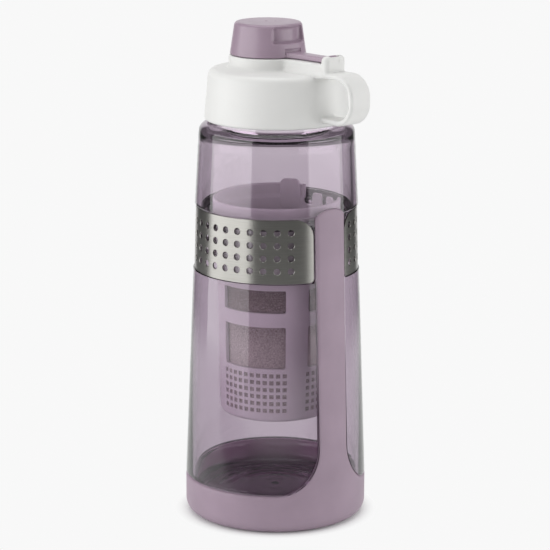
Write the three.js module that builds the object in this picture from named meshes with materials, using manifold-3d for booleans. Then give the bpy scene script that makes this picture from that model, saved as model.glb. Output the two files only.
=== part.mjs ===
// Tea infuser bottle: a clear bottle in a soft boot, a perforated steel band, a hanging tea
// basket and a screw lid with a carry loop and a flip-up spout cap.
// Millimetres, +Z up. The origin is the middle of the foot, and +X points along the carry loop.
import * as THREE from 'three';
import { mergeVertices } from 'three/addons/utils/BufferGeometryUtils.js';
import Module from 'manifold-3d';

const wasm = await Module();
wasm.setup();

// Fits
const GAP = 0.3; // air between neighbouring pieces
const THREAD_ROOM = 0.35; // between the neck and the bore of the lid, where the thread runs

// Facets
const AROUND = 44; // sides of a full turn on the large pieces
const AROUND_SMALL = 32; // sides of a full turn on the cap, spout and seal
const AROUND_BAND = 75; // sides of a full turn on the band, two to a column of holes
const ARC_STEPS = 3; // chords in a quarter round

// Boot: a soft cup under the bottle with one pillar up its side
const BOOT_EDGE_Z = 18.4; // height of the cup
const BOOT_WALL = 2.2;
const BOOT_FLOOR = 2.4;
const BOOT_ROUND = 5.5; // rounding round the foot
const BOOT_LIP = 0.6; // bevel along the cup's edge
const PILLAR_TURN = -3; // degrees from the carry loop when the lid is closed
const PILLAR_HALF_LOW = 8.8; // half width of the pillar where its fillets begin
const PILLAR_HALF_HIGH = 8.5; // half width level with the top of the band
const PILLAR_FILLET = 21; // radius between the pillar and the cup's edge
const PILLAR_PROUD = 0.7; // how far the pillar stands out of the wall at the band
const PILLAR_RISE = 4; // height of the pillar's arched top above the band

// Bottle
const BODY_R = 42.5; // outside radius at the edge of the boot
const BODY_DRAFT = 0.0375; // radius lost per millimetre of height below the band
const WALL = 2.8; // wall of the lower body
const FOOT_WALL = 2.0; // wall inside the boot
const FOOT_STEP = 2.6; // rise of the step inside the wall, just above the boot's edge
const FLOOR_T = 4.4; // thickness of the floor at its edge
const PUNT_H = 3; // rise of the domed floor
const PUNT_R = 29; // radius of the dome under the floor
const UPPER_R = 38; // outside radius just above the band
const UPPER_DRAFT = 0.0533; // radius lost per millimetre of height above the band
const UPPER_WALL = 2.3; // wall above the band
const CHAMBER_H = 34.5; // from the band to the start of the shoulder
const SHOULDER_ROUND = 4.6;
const NECK_R = 31.35; // outside radius of the neck, without its thread
const NECK_WALL = 1.15;
const NECK_H = 12.4; // from the top of the shoulder to the mouth
const LEDGE_T = 2.2; // ring inside the wall that carries the basket
const LEDGE_DROP = 3.3; // from the top of the band down to the ledge
const LEDGE_HOLD = 1.2; // how far the ledge reaches under the basket's rim

// Steel band
const BAND_Z = 118.1; // lower edge
const BAND_H = 29.4;
const BAND_T = 0.65;
const BAND_INSET = 0.5; // how far the band lies below the body's surface
const BAND_GAP_HALF = 14.6; // degrees from the pillar's middle to the band's end
const BAND_CORNER_TOP = 8.2; // rounding of the upper corners
const BAND_CORNER_LOW = 2; // rounding of the lower corners
const BAND_FRAME = 0.8; // between the band's ends and the wall that frames them
const BAND_HOLE_R = 1.5;
const BAND_HOLE_SIDES = 6;
const BAND_ROWS = 4;
const BAND_ROW_PITCH = 5.9;
const BAND_COLUMNS = 33;
const BAND_COLUMN_PITCH = 9.6; // degrees
const BAND_FIRST_COLUMN = -30.8; // degrees from the pillar's middle

// Tea basket
const BASKET_DEPTH = 95.4; // below the ledge
const BASKET_R_LOW = 26.4; // outside radius at its bottom
const BASKET_WALL = 1.4;
const BASKET_ROUND = 2; // rounding round its bottom
const RIM_H = 6.8; // height of the rim ring above the ledge
const RIM_WALL = 1.7;
const BASKET_TURN = -23; // degrees, middle of one upright rib
const PANELS = 4;
const RIB_HALF = 11.2; // degrees, half width of an upright rib
const WINDOW_TOP_Z = 101.7; // lower edge of the short windows
const WINDOW_TOP_H = 10.8;
const WINDOW_LOW_Z = 75; // lower edge of the tall windows
const WINDOW_LOW_H = 20;
const MESH_T = 0.4;
const MESH_LAP = 2; // how far the mesh runs past the windows
const TAB_AT = 122.5; // degrees, middle of the pull tab
const TAB_HALF = 10.5; // degrees
const TAB_T = 2.2;
const TAB_RISE = 2.5; // above the rim
const TAB_DEEP = 12; // below the rim
const NOTCH_FROM = 42; // degrees, start of the low stretch of the rim
const NOTCH_TO = 107;
const NOTCH_DEEP = 9;
const NUB_AT = [50, 68, 90]; // degrees, tongues that stand in the low stretch
const NUB_HALF = 6.5;
const NUB_H = 6;

// Lid
const LID_LIFT = 1.3; // between the bottle's shoulder and the lid's rim
const LID_WALL = 1.9; // skirt at the rim, outside the bore
const LID_DRAFT = 0.085; // radius lost per millimetre of height
const LID_H = 23.6; // from the rim to the deck
const LID_ROUND = 3.6; // rounding between skirt and deck
const LID_DECK = 2.5; // thickness of the deck
const GASKET_H = 2;
const GASKET_HOLD = 1.2; // how far the gasket reaches inside the mouth
const COLLAR_R = 18.1; // raised collar under the cap
const COLLAR_H = 5.7;
const COLLAR_WALL = 2.3;
const CAP_OFFSET = 6; // from the bottle's axis to the cap's, away from the hinge
const SPOUT_R = 10.8; // outside radius of the drinking spout
const SPOUT_WALL = 1.8;
const SPOUT_H = 10.1; // above the collar
const TONGUE_HALF_IN = 6.4; // half width of the bridge at the collar
const TONGUE_HALF_OUT = 5.2; // half width of the bridge at the hinge
const LOOP_W = 12.4; // width of the carry loop's strap
const LOOP_T = 2.5; // thickness of the strap
const LOOP_OUT = 20.6; // from the lid's rim to the outside of the loop
const LOOP_ROUND = 10.5; // outside corner radius
const LOOP_TOP = 2.1; // top of the loop above the deck
const LOOP_FOOT = 2.4; // underside of the loop above the lid's rim

// Hinge
const HINGE_OUT = 1.4; // from the lid's rim out to the pin
const PIN_R = 0.8;
const PIN_LAND = 1.5; // plastic left outside each end of the pin
const KNUCKLE_R = 2.1;
const KNUCKLE_W = 5.8;
const CHEEK_W = 3; // thickness of each cheek
const CHEEK_LAND = 0.6; // plastic left in front of the pin
const HOUSING_WALL = 1.1; // wall behind the knuckle
const HOUSING_ROUND = 1.2;

// Spout cap
const CAP_R_LOW = 17.6;
const CAP_R_TOP = 15.5;
const CAP_H = 14.9;
const CAP_ROUND = 1.8;
const CAP_WALL = 1.9;
const CAP_ROOF = 2.4;
const GRIP_HALF = 37; // degrees, half width of the finger recess
const GRIP_DEEP = 1.9; // depth of the finger recess below the cap's top radius
const GRIP_SHELF = 6.4; // height of the shelf under the recess
const GRIP_TOP = 1.1; // rim left above the recess
const ARM_T = 2.4;
const ARM_HALF = 4.6; // half width of the arm at the cap
const ARM_ROOM = 1.4; // height of the gap between the arm and the shelf
const ARM_INSET = 1; // how far the cap's wall is set back behind that gap
const SEAL_H = 1.9;
const SEAL_HOLD = 1.6; // how far the seal reaches past the spout

// Heights and radii that follow
const bandTop = BAND_Z + BAND_H;
const ledgeZ = bandTop - LEDGE_DROP;
const shoulderZ = bandTop + CHAMBER_H;
const shoulderTop = shoulderZ + SHOULDER_ROUND;
const mouthZ = shoulderTop + NECK_H;
const lidZ = shoulderTop + LID_LIFT;
const deckZ = lidZ + LID_H;
const collarZ = deckZ + COLLAR_H;
const capZ = collarZ + GAP;
const capTop = capZ + CAP_H;
const hingeZ = capZ + ARM_T / 2;
const footZ = BOOT_FLOOR + GAP;
const floorZ = footZ + FLOOR_T;
const neckIn = NECK_R - NECK_WALL;
const boreR = NECK_R + THREAD_ROOM;
const lidRim = boreR + LID_WALL;
const loopReach = lidRim + LOOP_OUT;
const hingeX = lidRim + HINGE_OUT;
const rimR = neckIn - GAP;
const basketTop = ledgeZ + GAP;
const basketZ = basketTop - BASKET_DEPTH;
const basketR = rimR - LEDGE_HOLD - GAP;
const rimTop = basketTop + RIM_H;
const pillarTop = bandTop + PILLAR_RISE;

const bodyR = (z) => BODY_R - BODY_DRAFT * (z - BOOT_EDGE_Z);
const upperR = (z) => UPPER_R - UPPER_DRAFT * (z - bandTop);
const basketOut = (z) => BASKET_R_LOW + ((basketR - BASKET_R_LOW) * (z - basketZ)) / BASKET_DEPTH;
const bandLow = bodyR(BAND_Z) - BAND_INSET;
const bandHigh = UPPER_R - BAND_INSET;
const bandR = (z) => bandLow + ((bandHigh - bandLow) * (z - BAND_Z)) / BAND_H;
const recessR = (z) => bandR(z) - BAND_T - GAP;

const rad = THREE.MathUtils.degToRad;

// Points of a quarter ellipse about (cx, cy), between two angles in degrees
function arc(cx, cy, rx, ry, from, to, steps = ARC_STEPS) {
  const points = [];
  for (let i = 0; i <= steps; i += 1) {
    const a = rad(from + ((to - from) * i) / steps);
    points.push([cx + rx * Math.cos(a), cy + ry * Math.sin(a)]);
  }
  return points;
}

// Closed triangle mesh to solid, with shared corners merged and empty triangles dropped
function solid(geometry) {
  const bare = geometry.clone();
  bare.deleteAttribute('normal');
  bare.deleteAttribute('uv');
  const merged = mergeVertices(bare, 1e-4);
  const index = merged.index.array;
  const kept = [];
  for (let i = 0; i < index.length; i += 3) {
    const [a, b, c] = [index[i], index[i + 1], index[i + 2]];
    if (a !== b && b !== c && c !== a) kept.push(a, b, c);
  }
  return new wasm.Manifold(
    new wasm.Mesh({
      numProp: 3,
      vertProperties: new Float32Array(merged.attributes.position.array),
      triVerts: new Uint32Array(kept),
    }),
  );
}

// Revolve a profile of [radius, height] points, listed anticlockwise, about the vertical axis
function revolve(profile, sides = AROUND) {
  const points = profile.map(([r, z]) => new THREE.Vector2(Math.max(r, 0), z));
  const first = points[0];
  const last = points[points.length - 1];
  if (first.x > 0 || last.x > 0) points.push(first.clone());
  return solid(new THREE.LatheGeometry(points, sides).rotateX(Math.PI / 2));
}

function cylinder(r, z0, z1, sides = AROUND_SMALL) {
  return revolve([[0, z0], [r, z0], [r, z1], [0, z1]], sides);
}

const outline = (points) => new THREE.Shape(points.map(([x, y]) => new THREE.Vector2(x, y)));

// Upright prism on a plan outline
function prism(points, z0, z1) {
  const options = { depth: z1 - z0, bevelEnabled: false };
  return solid(new THREE.ExtrudeGeometry(outline(points), options).translate(0, 0, z0));
}

// Prism of an outline in the XZ plane, centred on the XZ plane
function slab(points, width) {
  const options = { depth: width, bevelEnabled: false };
  const geometry = new THREE.ExtrudeGeometry(outline(points), options);
  return solid(geometry.rotateX(Math.PI / 2).translate(0, width / 2, 0));
}

// Prism of an outline in the YZ plane, from the axis out along +X
function beam(points, reach) {
  const options = { depth: reach, bevelEnabled: false };
  const geometry = new THREE.ExtrudeGeometry(outline(points), options);
  return solid(geometry.rotateX(Math.PI / 2).rotateZ(Math.PI / 2));
}

// Upright piece of a ring between two radii and two angles in degrees
function sector(r0, r1, from, to, z0, z1, steps = 8) {
  const outer = arc(0, 0, r1, r1, from, to, steps);
  const inner = arc(0, 0, r0, r0, to, from, steps);
  return prism([...outer, ...inner], z0, z1);
}

const bar = (r, length, sides = 16) =>
  solid(new THREE.CylinderGeometry(r, r, length, sides));

const turn = (body, degrees) => body.rotate([0, 0, degrees]);

// Plan view of the pillar and its fillets in the boot, grown outwards by a margin
function pillarOutline(grow) {
  const edge = BOOT_EDGE_Z + grow;
  const low = edge + PILLAR_FILLET - grow;
  const halfLow = PILLAR_HALF_LOW + grow;
  const halfHigh = PILLAR_HALF_HIGH + grow;
  const radius = PILLAR_FILLET - grow;
  const alongWall = (s) => BODY_R * Math.sin(s / BODY_R);
  const fillet = arc(halfLow + radius, low, radius, radius, 270, 180, 8);
  const right = [
    [alongWall(halfLow + radius), BOOT_EDGE_Z - BOOT_ROUND],
    ...fillet.map(([s, z]) => [alongWall(s), z]),
    ...arc(0, bandTop, halfHigh, PILLAR_RISE + grow, 0, 90, 5),
  ];
  const left = right.slice(0, -1).map(([y, z]) => [-y, z]).reverse();
  return [...right, ...left];
}

// Surface that the pillar lies on, from the boot's edge to above the band
function channel(lift) {
  return [
    [BODY_R - BOOT_WALL + lift, BOOT_EDGE_Z - BOOT_ROUND],
    [BODY_R - BOOT_WALL + lift, BOOT_EDGE_Z],
    [recessR(BAND_Z) + lift, BAND_Z],
    [recessR(bandTop) + lift, bandTop],
    [recessR(bandTop) + lift, pillarTop + 2],
  ];
}

function buildBoot() {
  const inner = BODY_R - BOOT_WALL;
  const cup = revolve([
    [0, 0],
    ...arc(BODY_R - BOOT_ROUND, BOOT_ROUND, BOOT_ROUND, BOOT_ROUND, -90, 0, 4),
    [BODY_R, BOOT_EDGE_Z - BOOT_LIP],
    [BODY_R - BOOT_LIP, BOOT_EDGE_Z],
    [inner, BOOT_EDGE_Z],
    ...arc(BODY_R - BOOT_ROUND, BOOT_ROUND, BOOT_ROUND - BOOT_WALL, BOOT_ROUND - BOOT_FLOOR, 0, -90),
    [0, BOOT_FLOOR],
  ]);
  const shell = revolve([
    [BODY_R, BOOT_EDGE_Z - BOOT_ROUND],
    [BODY_R, BOOT_EDGE_Z],
    [bodyR(BAND_Z) + PILLAR_PROUD, BAND_Z],
    [UPPER_R + PILLAR_PROUD, bandTop],
    [upperR(pillarTop) + PILLAR_PROUD / 2, pillarTop + 2],
    ...channel(GAP).reverse(),
  ]);
  const pillar = shell.intersect(beam(pillarOutline(0), BODY_R + PILLAR_FILLET));
  return turn(cup.add(pillar), PILLAR_TURN);
}

function buildBottle() {
  const rebate = BODY_R - BOOT_WALL - GAP;
  const footIn = rebate - FOOT_WALL;
  const wallIn = (z) => bodyR(z) - WALL;
  const upperIn = (z) => upperR(z) - UPPER_WALL;
  const shoulderIn = upperIn(shoulderZ) - neckIn;
  const ledgeR = rimR - LEDGE_HOLD;
  const ledgeLow = ledgeZ - LEDGE_T;
  const cornerIn = footIn - PUNT_R;
  const body = revolve([
    ...arc(0, footZ, PUNT_R, PUNT_H, 90, 0),
    ...arc(BODY_R - BOOT_ROUND, BOOT_ROUND, BOOT_ROUND - BOOT_WALL - GAP,
      BOOT_ROUND - footZ, -90, 0),
    [rebate, BOOT_EDGE_Z + GAP],
    [bodyR(BOOT_EDGE_Z + GAP), BOOT_EDGE_Z + GAP],
    [bodyR(BAND_Z), BAND_Z],
    [UPPER_R, bandTop],
    ...arc(upperR(shoulderZ) - SHOULDER_ROUND, shoulderZ, SHOULDER_ROUND, SHOULDER_ROUND, 0, 90, 4),
    [NECK_R, shoulderTop],
    [NECK_R, mouthZ],
    [neckIn, mouthZ],
    ...arc(neckIn, shoulderZ, shoulderIn, shoulderIn, 90, 0),
    [wallIn(bandTop), bandTop],
    [wallIn(ledgeZ), ledgeZ],
    [ledgeR, ledgeZ],
    [ledgeR, ledgeLow],
    [wallIn(ledgeLow), ledgeLow],
    [wallIn(BOOT_EDGE_Z + FOOT_STEP), BOOT_EDGE_Z + FOOT_STEP],
    [footIn, BOOT_EDGE_Z],
    ...arc(PUNT_R, floorZ + cornerIn / 2, cornerIn, cornerIn / 2, 0, -90),
    ...arc(0, floorZ, PUNT_R, PUNT_H, 0, 90).slice(1),
  ]);
  const far = BODY_R + PILLAR_FILLET;
  const groove = revolve([
    [far, BOOT_EDGE_Z - BOOT_ROUND],
    [far, pillarTop + 2],
    ...channel(0).reverse(),
  ]);
  const seat = groove.intersect(beam(pillarOutline(GAP), far + GAP));
  const recess = revolve([
    [recessR(BAND_Z), BAND_Z - GAP],
    [far, BAND_Z - GAP],
    [far, bandTop + GAP],
    [recessR(bandTop), bandTop + GAP],
  ]).subtract(bandGap(BAND_FRAME));
  return body.subtract(turn(seat.add(recess), PILLAR_TURN));
}

// The gap in the band, where the pillar passes between its rounded ends, drawn in by a margin
function bandGap(margin) {
  const half = bandHigh * Math.sin(rad(BAND_GAP_HALF)) - margin;
  const top = bandTop + margin;
  const foot = BAND_Z - margin;
  const cornerTop = BAND_CORNER_TOP + margin;
  const cornerLow = BAND_CORNER_LOW + margin;
  const right = [
    [half + cornerLow, foot - 1],
    ...arc(half + cornerLow, foot + cornerLow, cornerLow, cornerLow, 270, 180),
    ...arc(half + cornerTop, top - cornerTop, cornerTop, cornerTop, 180, 90, 5),
    [half + cornerTop, top + 1],
  ];
  const left = right.map(([y, z]) => [-y, z]).reverse();
  return beam([...right, ...left], BODY_R + PILLAR_FILLET);
}

function buildBand() {
  const ring = revolve([
    [bandLow, BAND_Z],
    [bandHigh, bandTop],
    [bandHigh - BAND_T, bandTop],
    [bandLow - BAND_T, BAND_Z],
  ], AROUND_BAND);
  const flat = 360 / AROUND_BAND;
  const band = turn(ring, BAND_FIRST_COLUMN + 90 - flat / 2).subtract(bandGap(0));
  const middle = BAND_Z + BAND_H / 2;
  const drill = solid(new THREE.CylinderGeometry(BAND_HOLE_R, BAND_HOLE_R, 6, BAND_HOLE_SIDES))
    .rotate([0, 0, 90]);
  const holes = [];
  for (let column = 0; column < BAND_COLUMNS; column += 1) {
    for (let row = 0; row < BAND_ROWS; row += 1) {
      const z = middle + (row - (BAND_ROWS - 1) / 2) * BAND_ROW_PITCH;
      const hole = drill.translate([bandR(z), 0, z]);
      holes.push(turn(hole, BAND_FIRST_COLUMN - column * BAND_COLUMN_PITCH));
    }
  }
  const drills = wasm.Manifold.compose(holes);
  return turn(band.subtract(drills), PILLAR_TURN);
}

function buildBasket() {
  const rimIn = rimR - RIM_WALL;
  let basket = revolve([
    [0, basketZ],
    ...arc(BASKET_R_LOW - BASKET_ROUND, basketZ + BASKET_ROUND, BASKET_ROUND, BASKET_ROUND, -90, 0),
    [basketR, basketTop],
    [rimR, basketTop],
    [rimR, rimTop],
    [rimIn, rimTop],
    [basketR - BASKET_WALL, basketTop],
    [BASKET_R_LOW - BASKET_WALL, basketZ + BASKET_ROUND],
    [BASKET_R_LOW - BASKET_ROUND, basketZ + BASKET_WALL],
    [0, basketZ + BASKET_WALL],
  ]);
  const far = rimR + 1;
  const near = BASKET_R_LOW / 2;
  const step = 360 / PANELS;
  for (let panel = 0; panel < PANELS; panel += 1) {
    const from = BASKET_TURN + panel * step + RIB_HALF;
    const to = BASKET_TURN + (panel + 1) * step - RIB_HALF;
    for (const [z, h] of [[WINDOW_TOP_Z, WINDOW_TOP_H], [WINDOW_LOW_Z, WINDOW_LOW_H]]) {
      basket = basket.subtract(sector(near, far, from, to, z, z + h));
    }
  }
  basket = basket.subtract(sector(near, far, NOTCH_FROM, NOTCH_TO, rimTop - NOTCH_DEEP, rimTop + 1));
  const tab = sector(rimIn - TAB_T / 2, rimIn + TAB_T / 2, TAB_AT - TAB_HALF, TAB_AT + TAB_HALF,
    rimTop - TAB_DEEP, rimTop + TAB_RISE, 4);
  const shell = revolve([
    [basketR - BASKET_WALL / 2, rimTop - TAB_DEEP],
    [basketR - BASKET_WALL / 2, rimTop + TAB_RISE],
    [near, rimTop + TAB_RISE],
    [near, rimTop - TAB_DEEP],
  ]);
  basket = basket.add(tab.intersect(shell));
  for (const at of NUB_AT) {
    const z = rimTop - NOTCH_DEEP;
    const [from, to] = [at - NUB_HALF, at + NUB_HALF];
    basket = basket.add(sector(basketR - BASKET_WALL, basketR, from, to, z - 1, z + NUB_H, 3));
  }
  return basket;
}

function buildMesh() {
  const low = WINDOW_LOW_Z - MESH_LAP;
  const high = WINDOW_TOP_Z + WINDOW_TOP_H + MESH_LAP;
  const out = (z) => basketOut(z) - BASKET_WALL - GAP;
  return revolve([
    [out(low), low],
    [out(high), high],
    [out(high) - MESH_T, high],
    [out(low) - MESH_T, low],
  ]);
}

function buildLid() {
  const lidR = (z) => lidRim - LID_DRAFT * (z - lidZ);
  const roundZ = deckZ - LID_ROUND;
  const ceiling = mouthZ + GAP + GASKET_H + GAP;
  const domeR = neckIn - GASKET_HOLD - GAP;
  const roof = deckZ - LID_DECK;
  const shell = revolve([
    [0, lidZ],
    [lidRim, lidZ],
    ...arc(lidR(roundZ) - LID_ROUND, roundZ, LID_ROUND, LID_ROUND, 0, 90, 4),
    [0, deckZ],
  ]);
  const collar = cylinder(COLLAR_R, roof, collarZ, AROUND).translate([-CAP_OFFSET, 0, 0]);
  const tongue = prism([
    [0, -TONGUE_HALF_IN],
    [hingeX, -TONGUE_HALF_OUT],
    [hingeX, TONGUE_HALF_OUT],
    [0, TONGUE_HALF_IN],
  ], deckZ + LOOP_TOP - LOOP_T, collarZ);
  let lid = shell.add(collar).add(tongue).add(buildLoop()).add(buildHousing());

  const bore = revolve([
    [0, lidZ - 1],
    [boreR, lidZ - 1],
    [boreR, ceiling],
    [domeR, ceiling],
    [domeR, roof - LID_ROUND],
    [domeR - LID_ROUND, roof],
    [0, roof],
  ]);
  const underCollar = cylinder(COLLAR_R - COLLAR_WALL, roof - 1, collarZ - COLLAR_WALL);
  lid = lid.subtract(bore).subtract(underCollar.translate([-CAP_OFFSET, 0, 0]));

  const spoutTop = collarZ + SPOUT_H;
  const spout = cylinder(SPOUT_R, collarZ - COLLAR_WALL, spoutTop);
  const drink = cylinder(SPOUT_R - SPOUT_WALL, roof - 1, spoutTop + 1);
  lid = lid.add(spout.translate([-CAP_OFFSET, 0, 0]));
  lid = lid.subtract(drink.translate([-CAP_OFFSET, 0, 0]));
  return lid.subtract(hingePocket());
}

// Carry loop: a strap bent into a D beside the lid
function buildLoop() {
  const high = deckZ + LOOP_TOP;
  const low = lidZ + LOOP_FOOT;
  const bend = loopReach - LOOP_ROUND;
  const inner = LOOP_ROUND - LOOP_T;
  return slab([
    [NECK_R - LOOP_T, low],
    ...arc(bend, low + LOOP_ROUND, LOOP_ROUND, LOOP_ROUND, -90, 0, 6),
    ...arc(bend, high - LOOP_ROUND, LOOP_ROUND, LOOP_ROUND, 0, 90, 6),
    [COLLAR_R - CAP_OFFSET, high],
    [COLLAR_R - CAP_OFFSET, high - LOOP_T],
    ...arc(bend, high - LOOP_ROUND, inner, inner, 90, 0, 6),
    ...arc(bend, low + LOOP_ROUND, inner, inner, 0, -90, 6),
    [NECK_R - LOOP_T, low + LOOP_T],
  ], LOOP_W);
}

// Hinge housing: two cheeks and a back wall that stand on the loop's root
function buildHousing() {
  const back = hingeX + KNUCKLE_R + GAP + HOUSING_WALL;
  const front = hingeX - PIN_R - GAP - CHEEK_LAND;
  const top = hingeZ + KNUCKLE_R;
  return slab([
    [front, deckZ],
    [back, deckZ],
    ...arc(back - HOUSING_ROUND, top - HOUSING_ROUND, HOUSING_ROUND, HOUSING_ROUND, 0, 90),
    ...arc(front + HOUSING_ROUND, top - HOUSING_ROUND, HOUSING_ROUND, HOUSING_ROUND, 90, 180),
  ], KNUCKLE_W + 2 * GAP + 2 * CHEEK_W);
}

// Room for the knuckle and the swing of the arm, and the holes for the pin's ends
function hingePocket() {
  const room = KNUCKLE_W + 2 * GAP;
  const reach = KNUCKLE_R + GAP;
  const high = hingeZ + 3 * KNUCKLE_R;
  const drop = ARM_T / 2 + GAP;
  const from = 180 + THREE.MathUtils.radToDeg(Math.asin(Math.min(drop / reach, 1)));
  const pocket = slab([
    [hingeX - 2 * reach, hingeZ - drop],
    ...arc(hingeX, hingeZ, reach, reach, from, 360, 8),
    [hingeX + reach + HOUSING_WALL + 1, high],
    [hingeX - 2 * reach, high],
  ], room);
  const pinRoom = bar(PIN_R + GAP, room + 2 * (CHEEK_W - PIN_LAND) + 2 * GAP);
  return pocket.add(pinRoom.translate([hingeX, 0, hingeZ]));
}

function buildPin() {
  const length = KNUCKLE_W + 2 * GAP + 2 * (CHEEK_W - PIN_LAND);
  return bar(PIN_R, length).translate([hingeX, 0, hingeZ]);
}

function buildGasket() {
  const z = mouthZ + GAP;
  const inside = neckIn - GASKET_HOLD;
  return revolve([
    [boreR - GAP, z],
    [boreR - GAP, z + GASKET_H],
    [inside, z + GASKET_H],
    [inside, z],
  ]);
}

function buildCap() {
  const roof = capTop - CAP_ROOF;
  const slope = (CAP_R_LOW - CAP_R_TOP) / CAP_H;
  const wallR = (z) => CAP_R_LOW - slope * (z - capZ);
  const body = revolve([
    [0, capZ],
    [CAP_R_LOW, capZ],
    ...arc(wallR(capTop - CAP_ROUND) - CAP_ROUND, capTop - CAP_ROUND, CAP_ROUND, CAP_ROUND, 0, 90),
    [0, capTop],
  ], AROUND).translate([-CAP_OFFSET, 0, 0]);
  const wide = (CAP_R_LOW + hingeX - KNUCKLE_R) / 2 - CAP_OFFSET / 2;
  const half = KNUCKLE_W / 2;
  const arm = prism([
    [0, -CAP_R_LOW / 2],
    [CAP_R_LOW - CAP_OFFSET, -ARM_HALF],
    [wide, -half],
    [hingeX, -half],
    [hingeX, half],
    [wide, half],
    [CAP_R_LOW - CAP_OFFSET, ARM_HALF],
    [0, CAP_R_LOW / 2],
  ], capZ, capZ + ARM_T);
  const setBack = THREE.MathUtils.radToDeg(Math.asin((ARM_HALF + GAP) / CAP_R_LOW));
  const inset = sector(CAP_R_LOW - ARM_INSET, CAP_R_LOW + 1, -setBack, setBack, capZ - 1,
    capZ + ARM_T + ARM_ROOM);
  const knuckle = bar(KNUCKLE_R, KNUCKLE_W).translate([hingeX, 0, hingeZ]);
  const pinHole = bar(PIN_R + GAP, KNUCKLE_W + 2).translate([hingeX, 0, hingeZ]);

  const floorR = CAP_R_TOP - GRIP_DEEP;
  const gripZ = capZ + GRIP_SHELF;
  const grip = sector(floorR, CAP_R_LOW + 1, -GRIP_HALF, GRIP_HALF, gripZ, capTop - GRIP_TOP);
  const keep = sector(floorR - CAP_WALL / 2, CAP_R_LOW + 1, -GRIP_HALF - 5, GRIP_HALF + 5,
    gripZ - CAP_WALL / 2, capTop);
  const cavity = revolve([
    [0, capZ - 1],
    [CAP_R_LOW - CAP_WALL, capZ - 1],
    [wallR(roof) - CAP_WALL, roof],
    [0, roof],
  ]).subtract(keep);
  const moved = (piece) => piece.translate([-CAP_OFFSET, 0, 0]);
  const outside = body.subtract(moved(grip)).subtract(moved(inset)).add(arm).add(knuckle);
  return outside.subtract(moved(cavity)).subtract(pinHole);
}

function buildSeal() {
  const top = capTop - CAP_ROOF - GAP;
  const wide = cylinder(SPOUT_R + SEAL_HOLD - GAP, top - SEAL_H, top);
  return wide.translate([-CAP_OFFSET, 0, 0]);
}

const plastic = (color, roughness) =>
  new THREE.MeshStandardMaterial({ color, roughness, metalness: 0 });
const clear = plastic(0xb9a9bb, 0.12);
clear.transparent = true;
clear.opacity = 0.5;
const mauve = plastic(0x9c8597, 0.55);
const mauveGloss = plastic(0xa58fa1, 0.35);
const white = plastic(0xe9e9e6, 0.4);
const silicone = plastic(0xdedcd8, 0.6);
const mesh = plastic(0x7d6a64, 0.6);
const steel = new THREE.MeshStandardMaterial({ color: 0xb9b7ae, roughness: 0.32, metalness: 1 });

const object = new THREE.Group();

function place(name, body, material) {
  const { numProp, vertProperties, triVerts } = body.getMesh();
  const geometry = new THREE.BufferGeometry();
  const position = new Float32Array((vertProperties.length / numProp) * 3);
  for (let i = 0; i < position.length / 3; i += 1) {
    position.set(vertProperties.subarray(i * numProp, i * numProp + 3), i * 3);
  }
  geometry.setAttribute('position', new THREE.BufferAttribute(position, 3));
  geometry.setIndex(new THREE.BufferAttribute(new Uint32Array(triVerts), 1));
  geometry.computeVertexNormals();
  const piece = new THREE.Mesh(geometry, material);
  piece.name = name;
  object.add(piece);
}

place('bottle', buildBottle(), clear);
place('boot', buildBoot(), mauve);
place('steel_band', buildBand(), steel);
place('infuser_basket', buildBasket(), mauveGloss);
place('infuser_mesh', buildMesh(), mesh);
place('lid', buildLid(), white);
place('lid_gasket', buildGasket(), silicone);
place('hinge_pin', buildPin(), steel);
place('spout_cap', buildCap(), mauveGloss);
place('cap_seal', buildSeal(), silicone);

export default object;
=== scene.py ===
"""Looks of the tea infuser bottle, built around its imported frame.

Shapes are worked out in millimetres in the frame's axes and written to Blender in metres.
"""
import math

import bpy
import numpy as np
from mathutils import Matrix, Vector


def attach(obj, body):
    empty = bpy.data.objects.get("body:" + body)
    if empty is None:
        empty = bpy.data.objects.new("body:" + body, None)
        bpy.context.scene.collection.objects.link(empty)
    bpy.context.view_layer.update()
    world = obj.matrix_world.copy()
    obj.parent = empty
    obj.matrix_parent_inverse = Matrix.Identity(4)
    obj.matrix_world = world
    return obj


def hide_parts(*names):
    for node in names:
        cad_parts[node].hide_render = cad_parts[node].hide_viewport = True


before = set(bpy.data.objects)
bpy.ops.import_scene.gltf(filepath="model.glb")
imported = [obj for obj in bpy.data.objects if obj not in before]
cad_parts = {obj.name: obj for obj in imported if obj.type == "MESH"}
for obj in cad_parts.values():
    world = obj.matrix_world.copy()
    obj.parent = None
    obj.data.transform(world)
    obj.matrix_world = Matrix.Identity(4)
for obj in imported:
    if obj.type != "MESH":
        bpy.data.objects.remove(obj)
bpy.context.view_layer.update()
scene = bpy.context.scene
MM = 0.001

# Sizes in millimetres, as in the solids
GAP = 0.3
BOOT_EDGE, BOOT_WALL, BOOT_FLOOR, BOOT_ROUND = 18.4, 2.2, 2.4, 5.5
PILLAR_TURN = math.radians(-3)
PILLAR_LOW, PILLAR_HIGH, PILLAR_FILLET = 8.8, 8.5, 21.0
PILLAR_PROUD, PILLAR_RISE = 0.7, 4.0
BODY_R, BODY_DRAFT, WALL = 42.5, 0.0375, 2.8
UPPER_R, UPPER_DRAFT, UPPER_WALL = 38.0, 0.0533, 2.3
BAND_Z, BAND_TOP, BAND_T, BAND_INSET = 118.1, 147.5, 0.65, 0.5
BAND_GAP_HALF = math.radians(14.6)
BAND_CORNER_TOP, BAND_CORNER_LOW, BAND_FRAME = 8.2, 2.0, 0.8
HOLE_R, HOLE_ROWS, HOLE_ROW_PITCH = 1.5, 4, 5.9
HOLE_COLUMNS, HOLE_PITCH, HOLE_FIRST = 33, math.radians(9.6), math.radians(-30.8)
LEDGE_Z, LEDGE_T, LEDGE_R, FOOT_STEP_Z = 144.2, 2.2, 28.7, 18.8
SHOULDER_Z, SHOULDER_ROUND = 182.0, 4.6
NECK_R, NECK_IN, MOUTH_Z = 31.35, 30.2, 199.0
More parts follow.
